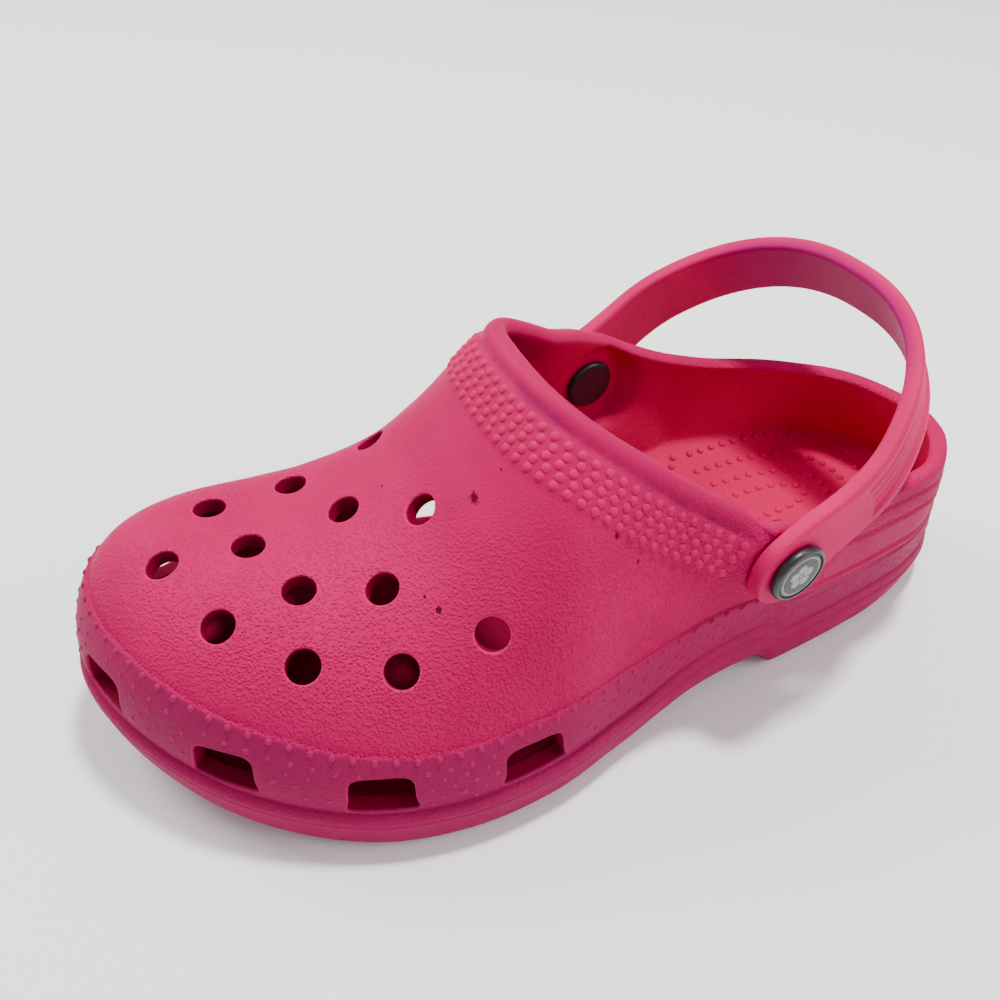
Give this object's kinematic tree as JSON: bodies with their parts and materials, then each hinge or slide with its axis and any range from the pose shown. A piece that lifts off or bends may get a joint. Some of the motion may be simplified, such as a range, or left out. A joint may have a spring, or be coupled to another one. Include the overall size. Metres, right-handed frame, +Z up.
{
  "type": "rubber garden clog",
  "caption": "Moulded foam clog for the left foot, with round vents on the vamp, slots above the sole band and a heel strap that swings on snap rivets.",
  "frame": {"origin": "on the ground, under the middle of the bounding box", "axes": "+Z up, the toe points to -Y, the outer (lateral) side of this left clog faces +X"},
  "size_m": [0.119, 0.2706, 0.1037],
  "materials": {
    "foam": "satin, finely pebbled, crimson pink",
    "strap_foam": "satin, smooth, crimson pink",
    "black_plastic": "semi-gloss black",
    "badge": "satin silver print"
  },
  "bodies": {
    "clog": {"clog_body": "foam"},
    "strap": {"heel_strap": "strap_foam"},
    "rivet_lateral": {"rivet_button_lateral": "black_plastic", "rivet_cap_lateral": "black_plastic", "rivet_badge_lateral": "badge"},
    "rivet_medial": {"rivet_button_medial": "black_plastic", "rivet_cap_medial": "black_plastic", "rivet_badge_medial": "badge"}
  },
  "joints": [
    {"name": "strap_hinge", "type": "hinge", "parent": "clog", "child": "strap", "pos_m": [-0.00316, 0.03767, 0.0567], "axis": [0.9859, 0.1645, -0.0318], "range_deg": [-8, 98]},
    {"name": "rivet_lateral_spin", "type": "hinge", "parent": "clog", "child": "rivet_lateral", "pos_m": [0.05054, 0.04663, 0.05497], "axis": [0.9859, 0.1645, -0.0318], "continuous": true},
    {"name": "rivet_medial_spin", "type": "hinge", "parent": "clog", "child": "rivet_medial", "pos_m": [-0.05686, 0.02871, 0.05843], "axis": [0.9859, 0.1645, -0.0318], "continuous": true}
  ]
}
